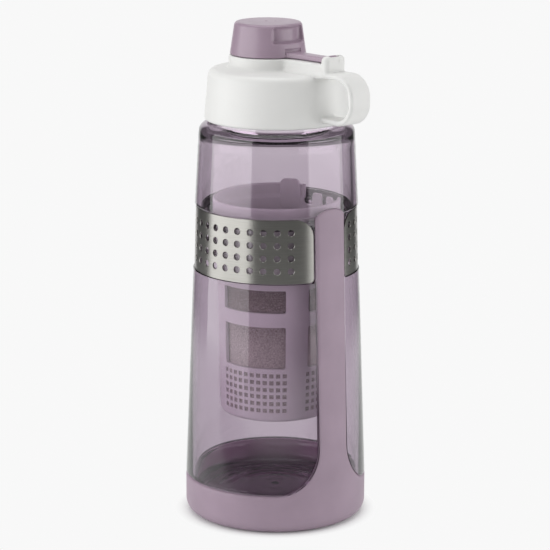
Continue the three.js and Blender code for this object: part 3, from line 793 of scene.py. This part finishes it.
WINDOWS, WINDOW_CORNER = ((101.7, 112.5), (75.0, 95.0)), 1.0
PERF_COLUMNS, PERF_SPAN, PERF_HALF = 11, 10.3, 1.0
PERF_ROWS, PERF_Z, PERF_PITCH = 6, 54.8, 3.38
RIM_FROM = 139.0
NOTCH_FROM, NOTCH_TO, NOTCH_DEEP = math.radians(42), math.radians(107), 9.0
TONGUES, TONGUE_HALF, TONGUE_TOP = (50, 68, 90), 3.2, 148.3
TONGUE_R, TONGUE_T = 27.75, 1.5
TAB_AT, TAB_HALF, TAB_LOW, TAB_TOP = math.radians(122), 5.1, 139.3, 153.8
TAB_R, TAB_T = 27.5, 1.6


def window(start, stop, low, high, corner):
    """Cutter for an opening with rounded corners in the basket's wall."""
    steps = np.linspace(0, math.pi / 2, 5)
    heights = np.concatenate([low + corner * (1 - np.cos(steps)), high - corner + corner * np.sin(steps)])
    draw = np.concatenate([corner * (1 - np.sin(steps)), corner * (1 - np.cos(steps))])
    inner, outer = [], []
    for z, d in zip(heights, draw):
        a = np.linspace(start + d / BASKET_R, stop - d / BASKET_R, 18)
        for r, rows in ((20.0, inner), (34.0, outer)):
            rows.append(level_arc(r, a, z))
    return slab(np.array(inner), np.array(outer))


def block(start, stop, low, high, r0, r1):
    """Four-sided cutter between two angles, two heights and two radii."""
    a = np.linspace(start, stop, 2)
    inner, outer = (np.array([level_arc(r, a, z) for z in (low, high)]) for r in (r0, r1))
    return slab(inner, outer)


def panel_cutters(start, stop):
    """Two windows and a field of small square holes between two ribs."""
    cutters = [window(start, stop, low, high, WINDOW_CORNER) for low, high in WINDOWS]
    pitch, half = (stop - start) / PERF_SPAN, PERF_HALF / BASKET_R_LOW
    for column in range(PERF_COLUMNS):
        a = (start + stop) / 2 + (column - (PERF_COLUMNS - 1) // 2) * pitch
        for row in range(PERF_ROWS):
            z = PERF_Z + row * PERF_PITCH
            cutters.append(block(a - half, a + half, z - PERF_HALF, z + PERF_HALF, 22.0, 30.0))
    return cutters


def basket_shape():
    top, foot_in = RIM_FROM + 0.3, BASKET_Z + BASKET_WALL
    basket = raw(lathe([
        (0, BASKET_Z), *arc(BASKET_R_LOW - 2, BASKET_Z + 2, 2, 2, -90, 0, 6),
        (basket_r(top), top), (basket_r(top) - BASKET_WALL, top),
        (BASKET_R_LOW - BASKET_WALL, BASKET_Z + 2), (BASKET_R_LOW - 2, foot_in), (0, foot_in),
    ], 180))
    cutters = []
    step = 2 * math.pi / PANELS
    for panel in range(PANELS):
        start = BASKET_TURN + panel * step
        cutters += panel_cutters(start + RIB_HALF, start + step - RIB_HALF)
    return carve(basket, joined(cutters))


def rim_field():
    """Rolled rim with its pull tab, low on one side, where three tongues stand."""
    rim_in = RIM_R - RIM_WALL
    low_in = basket_r(RIM_FROM) - BASKET_WALL
    roll = RIM_WALL / 2
    wall = polygon_field([
        (low_in, RIM_FROM), (basket_r(RIM_FROM), RIM_FROM), (BASKET_R, BASKET_TOP),
        *arc(RIM_R - 0.5, BASKET_TOP + 0.5, 0.5, 0.5, -90, 0, 4),
        *arc(RIM_R - roll, RIM_TOP - roll, roll, roll, 0, 180, 12),
        (rim_in, BASKET_TOP + 1.6), (BASKET_R - BASKET_WALL, BASKET_TOP),
    ], (20, 130), (36, 160), 0.1)
    notch_at, notch_half = (NOTCH_FROM + NOTCH_TO) / 2, (NOTCH_TO - NOTCH_FROM) / 2 * BASKET_R
    tab_half_z = (TAB_TOP - TAB_LOW) / 2

    def field(x, y, z):
        r, turn = np.hypot(x, y), np.arctan2(y, x)
        lowered = z - RIM_TOP + NOTCH_DEEP - 10
        notch = rounded_box((turn - notch_at) * BASKET_R, lowered, notch_half, 10, 1.6)
        body = round_max(wall(r, z), -notch, 0.4)
        for at in TONGUES:
            across = (turn - math.radians(at)) * BASKET_R
            flat = rounded_box(across, z - TONGUE_TOP + 5, TONGUE_HALF, 5, 1.8)
            body = smooth_min(body, round_max(flat, np.abs(r - TONGUE_R) - TONGUE_T / 2, 0.45), 0.4)
        across = (turn - TAB_AT) * BASKET_R
        flat = rounded_box(across, z - TAB_LOW - tab_half_z, TAB_HALF, tab_half_z, 2.6)
        return smooth_min(body, round_max(flat, np.abs(r - TAB_R) - TAB_T / 2, 0.6), 0.5)

    return field


piece("basket", basket_shape(), BASKET, "infuser", ["infuser_basket"], sharp=30)
rim, rim_normals = net(rim_field(), (-31, -31, RIM_FROM - 1), (31, 31, TAB_TOP + 1), 0.42)
piece("basket_rim", rim, BASKET, "infuser", ["infuser_basket"], normals=rim_normals)


MESH_INLAY, MESH_T = 0.5, 0.4
MESH_INLAID, MESH_FREE = (53.0, 73.4), (74.4, 114.5)


def mesh_shape():
    """Mesh moulded into the perforated wall, and free behind the windows."""
    inlaid = [(basket_r(z) - MESH_INLAY, z) for z in np.linspace(*MESH_INLAID, 6)]
    free = [(basket_r(z) - BASKET_WALL - GAP, z) for z in np.linspace(*MESH_FREE, 8)]
    wall = inlaid + free
    return lathe(wall + [(r - MESH_T, z) for r, z in reversed(wall)], 160)


piece("strainer_mesh", mesh_shape(), WEAVE, "infuser", ["infuser_mesh"])


# Lid

LID_EDGE, BRIDGE_ROOT, BRIDGE_END = 1.1, 6.6, 5.8
HOUSE_BACK = HINGE_X + KNUCKLE_R + 1.4
HOUSE_FRONT, HOUSE_TOP = HINGE_X - 1.3, HINGE_Z + KNUCKLE_R + 0.2
SLIT_Y, SLIT_Z, SLIT_HALF, SLIT_TALL, SLIT_DEEP = 1.5, 219.4, 0.22, 0.9, 0.35
COLLAR_IN, COLLAR_ROOF, SPOUT_FROM, HOLLOW_FROM = 15.8, 214.9, 214.0, 205.0
LOOP_FROM, LOOP_NECK = 5.0, 1.9
SHEET_TOP = 236.0  # above everything on the lid


def lid_outlines():
    """Profiles of the lid's outside and of its bore."""
    low, high = (0, LID_Z - 6), (62, SHEET_TOP)
    round_z = DECK_Z - LID_ROUND
    side = LID_R - LID_DRAFT * (round_z - LID_Z)
    skirt = polygon_field([
        (-5, LID_Z), *arc(LID_R - LID_EDGE, LID_Z + LID_EDGE, LID_EDGE, LID_EDGE, -90, 0, 6),
        *arc(side - LID_ROUND, round_z, LID_ROUND, LID_ROUND, 0, 90, 12), (-5, DECK_Z),
    ], low, high)
    bore = polygon_field([
        (-5, LID_Z - 9), (BORE_R, LID_Z - 9), (BORE_R, CEILING_Z), (DOME_R, CEILING_Z),
        (DOME_R, ROOF_Z - LID_ROUND), (DOME_R - LID_ROUND, ROOF_Z), (-5, ROOF_Z),
    ], low, high)
    return skirt, bore


def hinge_outlines():
    """Side views of the hinge's block and of the pocket that the knuckle turns in."""
    low, high = (20, LID_Z - 6), (62, SHEET_TOP)
    house = polygon_field([
        (HOUSE_FRONT, LOOP_HIGH - 2.2), (HOUSE_BACK, LOOP_HIGH - 2.2),
        *arc(HOUSE_BACK - 1.8, HOUSE_TOP - 1.8, 1.8, 1.8, 0, 90, 6),
        *arc(HOUSE_FRONT + 2.4, HOUSE_TOP - 2.4, 2.4, 2.4, 90, 180, 6),
    ], low, high)
    reach, drop = KNUCKLE_R + GAP, ARM_T / 2 + GAP
    start = 180 + math.degrees(math.asin(drop / reach))
    pocket = polygon_field([
        (HINGE_X - 2 * reach, HINGE_Z - drop), *arc(HINGE_X, HINGE_Z, reach, reach, start, 360, 16),
        (HINGE_X + reach, HINGE_Z + 1.5), (HINGE_X + reach + 3.2, HINGE_Z + 7),
        (HINGE_X - 2 * reach, HINGE_Z + 7),
    ], low, high)
    return house, pocket


def loop_field(x, side, z):
    """Carry loop: a rounded frame of flat strip, narrower low down towards the skirt."""
    half_t = LOOP_T / 2
    mid_x, half_x = (LOOP_X - half_t + LOOP_FROM) / 2, (LOOP_X - half_t - LOOP_FROM) / 2
    mid_z, half_z = (LOOP_LOW + LOOP_HIGH) / 2, (LOOP_HIGH - LOOP_LOW) / 2 - half_t
    line = rounded_box(x - mid_x, z - mid_z, half_x, half_z, LOOP_ROUND - half_t)
    half_y = LOOP_HALF - LOOP_NECK * np.clip((46 - x) / 12, 0, 1) * np.clip((203 - z) / 6, 0, 1)
    return round_max(np.abs(line) - half_t, side - half_y, 1.15)


def lid_field():
    """Skirt, deck, collar, bridge, spout, loop and hinge block as one moulding."""
    skirt, bore = lid_outlines()
    house, pocket = hinge_outlines()
    bridge = polygon_field([
        (0, -BRIDGE_ROOT), (HINGE_X, -BRIDGE_END), (HINGE_X, BRIDGE_END), (0, BRIDGE_ROOT),
    ], (-40, -40), (62, 40))
    slot = KNUCKLE_HALF + GAP

    def field(x, y, z):
        r, rc = np.hypot(x, y), np.hypot(x - CAP_X, y)
        side = np.abs(y)
        plan = smooth_min(rc - COLLAR_R, bridge(x, y), 1.6)
        raised = np.maximum(round_max(plan, z - COLLAR_Z, 0.7), LOOP_HIGH - LOOP_T - z)
        body = smooth_min(skirt(r, z), raised, 1.8)
        body = smooth_min(body, loop_field(x, side, z), 1.2)
        body = smooth_min(body, round_max(house(x, z), side - slot - CHEEK, 2.2), 0.7)
        slit = np.maximum(np.abs(y - SLIT_Y) - SLIT_HALF, HOUSE_BACK - SLIT_DEEP - x)
        body = np.maximum(body, -np.maximum(slit, np.abs(z - SLIT_Z) - SLIT_TALL))
        dome = np.maximum(np.maximum(rc - COLLAR_IN, z - COLLAR_ROOF), HOLLOW_FROM - z)
        body = round_max(body, -np.minimum(bore(r, z), dome), 0.25)
        lip = round_max(round_max(rc - SPOUT_R, z - SPOUT_TOP, 0.7), SPOUT_FROM - z, 0.2)
        body = smooth_min(body, lip, 0.7)
        body = round_max(body, -np.maximum(rc - SPOUT_IN, HOLLOW_FROM - z), 0.4)
        body = round_max(body, -np.maximum(pocket(x, z), side - slot), 0.25)
        pin = np.maximum(np.hypot(x - HINGE_X, z - HINGE_Z) - PIN_R - GAP, side - PIN_HALF - GAP)
        return np.maximum(body, -pin)

    return field


lid, lid_normals = net(lid_field(), (-35, -35, LID_Z - 1), (55.5, 35, 229), 0.46)
piece("lid_white", lid, LID, "lid", ["lid"], normals=lid_normals)


GASKET_LIP, GASKET_T, GASKET_ROUND = 1.2, 2.0, 0.5
PIN_CHAMFER = 0.2


def gasket_shape():
    """Flat ring over the bottle's mouth, with rounded edges."""
    edge = GASKET_ROUND
    near, far = NECK_IN - GASKET_LIP + edge, BORE_R - GAP - edge
    low, high = MOUTH_Z + GAP + edge, MOUTH_Z + GAP + GASKET_T - edge
    return lathe([
        *arc(far, low, edge, edge, -90, 0, 4),
        *arc(far, high, edge, edge, 0, 90, 4),
        *arc(near, high, edge, edge, 90, 180, 4),
        *arc(near, low, edge, edge, 180, 270, 4),
    ], 128)


def pin_shape():
    """Hinge pin across the lid, with chamfered ends."""
    slim, short = PIN_R - PIN_CHAMFER, PIN_HALF - PIN_CHAMFER
    points, faces = lathe([
        (0, -PIN_HALF), (slim, -PIN_HALF), (PIN_R, -short),
        (PIN_R, short), (slim, PIN_HALF), (0, PIN_HALF),
    ], 28)
    return np.stack([points[:, 0] + HINGE_X, points[:, 2], HINGE_Z - points[:, 1]], 1), faces


piece("gasket_ring", gasket_shape(), SILICONE, "gasket", ["lid_gasket"])
piece("pin", pin_shape(), STEEL, "lid", ["hinge_pin"])


# Spout cap

GATE_MARKS = ((-0.6, -0.6, 0.62, 0.3), (2.3, 2.4, 0.42, 0.2))
ARM_ROOM, ARM_INSET, ARM_SLIM_X = 1.4, 1.0, 24.0
GRIP_SHELF, GRIP_TOP = CAP_Z + 6.4, CAP_TOP - 1.1
GRIP_R, GRIP_HALF, GRIP_FLOOR = 16.0, math.radians(37), CAP_R_TOP - 1.9
GRIP_CORNER, GRIP_BACK = 1.6, 1.2
SEAL_R, SEAL_T, SEAL_ROUND, SEAL_EDGE = 12.1, 1.9, 0.5, 0.3


def cap_r(z):
    return CAP_R_LOW - (CAP_R_LOW - CAP_R_TOP) / (CAP_TOP - CAP_Z) * (z - CAP_Z)


def cap_outlines():
    """Profiles of the cap's outside and inside, and the arm's outline from above."""
    low, high = (0, CAP_Z - 6), (62, CAP_TOP + 6)
    roof, round_z = CAP_TOP - CAP_ROOF, CAP_TOP - CAP_ROUND
    skin = polygon_field([
        (-5, CAP_Z), *arc(CAP_R_LOW - 0.4, CAP_Z + 0.4, 0.4, 0.4, -90, 0, 3),
        *arc(cap_r(round_z) - CAP_ROUND, round_z, CAP_ROUND, CAP_ROUND, 0, 90, 8),
        (-5, CAP_TOP + 0.25),
    ], low, high, 0.12)
    inside = polygon_field([
        (-5, CAP_Z - 9), (CAP_R_LOW - CAP_WALL, CAP_Z - 9), (CAP_R_LOW - CAP_WALL, CAP_Z),
        (cap_r(roof) - CAP_WALL, roof), (-5, roof),
    ], low, high)
    root = CAP_R_LOW + CAP_X
    flare = arc(ARM_SLIM_X, -ARM_HALF, ARM_SLIM_X - root, ARM_HALF - KNUCKLE_HALF, 180, 90, 8)
    arm = polygon_field([
        (0, -ARM_HALF), *flare, (HINGE_X, -KNUCKLE_HALF),
        (HINGE_X, KNUCKLE_HALF), *[(x, -y) for x, y in reversed(flare)], (0, ARM_HALF),
    ], (-30, -30), (62, 30))
    return skin, inside, arm


def cap_field():
    """Hollow cap with a finger recess, and an arm that ends in the hinge's knuckle."""
    skin, inside, arm = cap_outlines()
    grip_half, grip_tall = GRIP_HALF * GRIP_R, (GRIP_TOP - GRIP_SHELF) / 2
    grip_z = (GRIP_SHELF + GRIP_TOP) / 2

    def field(x, y, z):
        rc = np.hypot(x - CAP_X, y)
        across = np.arctan2(y, x - CAP_X) * GRIP_R
        from_pin = np.hypot(x - HINGE_X, z - HINGE_Z)
        plate = round_max(arm(x, y), np.abs(z - CAP_Z - ARM_T / 2) - ARM_T / 2, 0.45)
        knuckle = round_max(from_pin - KNUCKLE_R, np.abs(y) - KNUCKLE_HALF, 0.4)
        room = np.maximum(np.abs(y) - ARM_HALF - GAP, z - CAP_Z - ARM_T - ARM_ROOM)
        room = np.maximum(np.maximum(room, CAP_R_LOW - ARM_INSET - rc), CAP_X - x)
        body = smooth_min(round_max(skin(rc, z), -room, 0.25), smooth_min(plate, knuckle, 0.8), 0.4)
        notch = rounded_box(across, z - grip_z, grip_half, grip_tall, GRIP_CORNER)
        dent = round_max(notch, GRIP_FLOOR - rc, GRIP_CORNER)
        keep = np.maximum(notch - GRIP_CORNER, GRIP_FLOOR - GRIP_BACK - rc)
        body = round_max(body, -np.maximum(inside(rc, z), -keep), 0.3)
        body = round_max(body, -dent, 0.55)
        for at_x, at_y, size, depth in GATE_MARKS:
            spot = np.hypot(x - CAP_X - at_x, y - at_y)
            body = body + depth * np.exp(-(spot / size) ** 4) * (z > CAP_TOP - 2)
        pin = np.maximum(from_pin - PIN_R - GAP, 20 - x)
        return np.maximum(body, -pin)

    return field


def seal_shape():
    """Disc under the cap's roof that closes the spout."""
    top = CAP_TOP - CAP_ROOF - GAP
    low = top - SEAL_T
    points, faces = lathe([
        (0, low), *arc(SEAL_R - SEAL_ROUND, low + SEAL_ROUND, SEAL_ROUND, SEAL_ROUND, -90, 0, 4),
        *arc(SEAL_R - SEAL_EDGE, top - SEAL_EDGE, SEAL_EDGE, SEAL_EDGE, 0, 90, 3), (0, top),
    ], 96)
    return points + np.array([CAP_X, 0, 0]), faces


cap, cap_normals = net(cap_field(), (-25, -19, CAP_Z - 2), (38, 19, CAP_TOP + 1), 0.36)
piece("cap_mauve", cap, CAP, "cap", ["spout_cap"], normals=cap_normals)
piece("seal_disc", seal_shape(), SILICONE, "cap", ["cap_seal"])


# Stage, light and camera

# The camera was fitted to the photograph's outline
CAM_AZ, CAM_EL, CAM_ROLL = math.radians(46), math.radians(12.854), math.radians(0.237)
CAM_FAR, LENS, SENSOR = 1.12977, 158.09, 36.0
PICTURE, SHIFT_X, SHIFT_Y = 550, -1.304, -23.916  # pixels
TARGET = Vector((0, 0, 0.125))
WHITE = 0.94

# Name, degrees round from the camera, height, distance, width, tallness and radiance
SOFTBOXES = (
    ("key", -71, 0.22, 0.9, 1.3, 0.95, 2.1),
    ("fill", 77, 0.22, 0.95, 1.15, 0.85, 1.85),
    ("top", 180, 1.2, 0.15, 1.0, 1.0, 2.1),
)

# Floor, in metres: spans over which it changes, outwards from the bottle or towards the camera
FLOOR_R, FLOOR_DROP, FLOOR_GREY = 0.64, 0.0001, 0.86
SHADOW_END, SHADOW_WHITE = (0.038, 0.048), 0.05
DARK_FROM, DARK_PAST, DARK_LOSS = (0.06, 0.1), (0.25, 0.16), 0.85
MIRROR_END = (0.32, 0.5)

# Surround: spans of a ray's direction over which it turns from dark to white
LEVEL_RAYS = (0.18, 0.05)
BEHIND = (0.84, 0.93)
BEYOND, BEYOND_TURN = (0.68, 0.88), math.radians(8)
ASIDE = (0.4, 0.2)
OVERHEAD = 0.24
SOFT_LEVEL, CLEAR_LEVEL = 0.34, 0.1


def towards(azimuth, elevation=0.0):
    level = math.cos(elevation)
    return Vector((math.sin(azimuth) * level, -math.cos(azimuth) * level, math.sin(elevation)))


def placed(name, data, where, back):
    """An object whose back points a given way."""
    ob = bpy.data.objects.new(name, data)
    scene.collection.objects.link(ob)
    ob.location = where
    ob.rotation_mode = "QUATERNION"
    ob.rotation_quaternion = back.to_track_quat("Z", "Y")
    return ob


def make_camera():
    data = bpy.data.cameras.new("camera")
    data.lens, data.sensor_width = LENS, SENSOR
    data.shift_x, data.shift_y = SHIFT_X / PICTURE, SHIFT_Y / PICTURE
    data.clip_start, data.clip_end = 0.05, 20
    back = towards(CAM_AZ, CAM_EL)
    ob = placed("camera", data, TARGET + back * CAM_FAR, back)
    roll = Matrix.Rotation(CAM_ROLL, 3, "Z").to_quaternion()
    ob.rotation_quaternion = ob.rotation_quaternion @ roll
    scene.camera = ob


def heading(tree, at, way):
    """How far a direction or a place lies in the given level way."""
    by_x = times(tree, at["X"], way.x)
    return math_node(tree, "ADD", by_x, times(tree, at["Y"], way.y))


def ray_kinds(tree):
    """The light path, rays off glossy or clear surfaces, and rays off glossy ones alone."""
    path = node(tree, "ShaderNodeLightPath").outputs
    glossy, clear = path["Is Glossy Ray"], path["Is Transmission Ray"]
    return path, larger(tree, glossy, clear), math_node(tree, "GREATER_THAN", glossy, clear)


def floor_glow(tree, where, mirror):
    """White of the floor, darker in mirror images of the stretch before the bottle."""
    ahead = heading(tree, axes_of(tree, where), towards(CAM_AZ))
    near = map_range(tree, ahead, *DARK_FROM, 0.0, DARK_LOSS, smooth=True)
    past = map_range(tree, ahead, *DARK_PAST, smooth=True)
    loss = times(tree, mirror, times(tree, near, past))
    glow = node(tree, "ShaderNodeEmission")
    set_inputs(glow, Color=(WHITE, WHITE, WHITE, 1), Strength=math_node(tree, "SUBTRACT", 1.0, loss))
    return glow


def floor_material():
    """White to the eye, matt under the lights, with the bottle's shadow close to its foot."""
    made, tree, shader = material("floor")
    tree.nodes.remove(shader)
    where = object_coordinates(tree)
    length = node(tree, "ShaderNodeVectorMath", operation="LENGTH")
    tree.links.new(where, length.inputs[0])
    far = length.outputs["Value"]
    path, shiny, mirror = ray_kinds(tree)
    seen = larger(tree, path["Is Camera Ray"], shiny)
    fade = map_range(tree, far, *SHADOW_END, SHADOW_WHITE, 1.0, smooth=True)
    diffuse = node(tree, "ShaderNodeBsdfDiffuse")
    set_inputs(diffuse, Color=(FLOOR_GREY, FLOOR_GREY, FLOOR_GREY, 1))
    glow = floor_glow(tree, where, mirror)
    shade = mixed(tree, times(tree, seen, fade), diffuse, glow)
    rim = map_range(tree, far, *MIRROR_END, smooth=True)
    none = node(tree, "ShaderNodeBsdfTransparent")
    ended = mixed(tree, times(tree, mirror, rim), shade, none)
    set_inputs(tree.nodes["Material Output"], Surface=ended.outputs[0])
    return made


def make_floor():
    turns = np.linspace(0, 2 * math.pi, 96, endpoint=False)
    floor = raw((level_arc(FLOOR_R / MM, turns, -FLOOR_DROP / MM), [tuple(range(len(turns)))]))
    floor.name = "floor"
    floor.data.materials.append(floor_material())


def white_surround(tree, path, mirror):
    """Where the surround is white: to the eye, behind the bottle, and past two dark flags."""
    at = axes_of(tree, node(tree, "ShaderNodeTexCoord").outputs["Generated"])
    along = heading(tree, at, -towards(CAM_AZ))
    low = map_range(tree, at["Z"], *LEVEL_RAYS, smooth=True)
    behind = map_range(tree, along, *BEHIND, smooth=True)
    beyond = map_range(tree, heading(tree, at, -towards(CAM_AZ + BEYOND_TURN)), *BEYOND, smooth=True)
    aside = map_range(tree, along, *ASIDE, smooth=True)
    level = times(tree, low, larger(tree, beyond, aside))
    above = times(tree, math_node(tree, "SUBTRACT", 1.0, low), OVERHEAD)
    through = larger(tree, level, above)
    through = times(tree, path["Is Transmission Ray"], through)
    mirrored = times(tree, mirror, behind)
    shown = larger(tree, through, mirrored)
    return larger(tree, path["Is Camera Ray"], shown)


def make_world():
    world = bpy.data.worlds.new("studio")
    scene.world = world
    world.use_nodes = True
    tree = world.node_tree
    path, shiny, mirror = ray_kinds(tree)
    direct = math_node(tree, "LESS_THAN", path["Diffuse Depth"], 0.5)
    dim = spread(tree, times(tree, shiny, direct), SOFT_LEVEL, CLEAR_LEVEL)
    level = spread(tree, white_surround(tree, path, mirror), dim, WHITE)
    set_inputs(tree.nodes["Background"], Color=(1, 1, 1, 1), Strength=level)


def softbox(name, turn, height, distance, width, tall, radiance):
    data = bpy.data.lights.new(name, "AREA")
    data.shape, data.size, data.size_y = "RECTANGLE", width, tall
    data.energy = radiance * math.pi * width * tall
    where = towards(CAM_AZ + math.radians(turn)) * distance + Vector((0, 0, height))
    placed(name, data, where, where - TARGET)


make_camera()
make_floor()
make_world()
for lamp in SOFTBOXES:
    softbox(*lamp)
scene.view_settings.view_transform = "Standard"
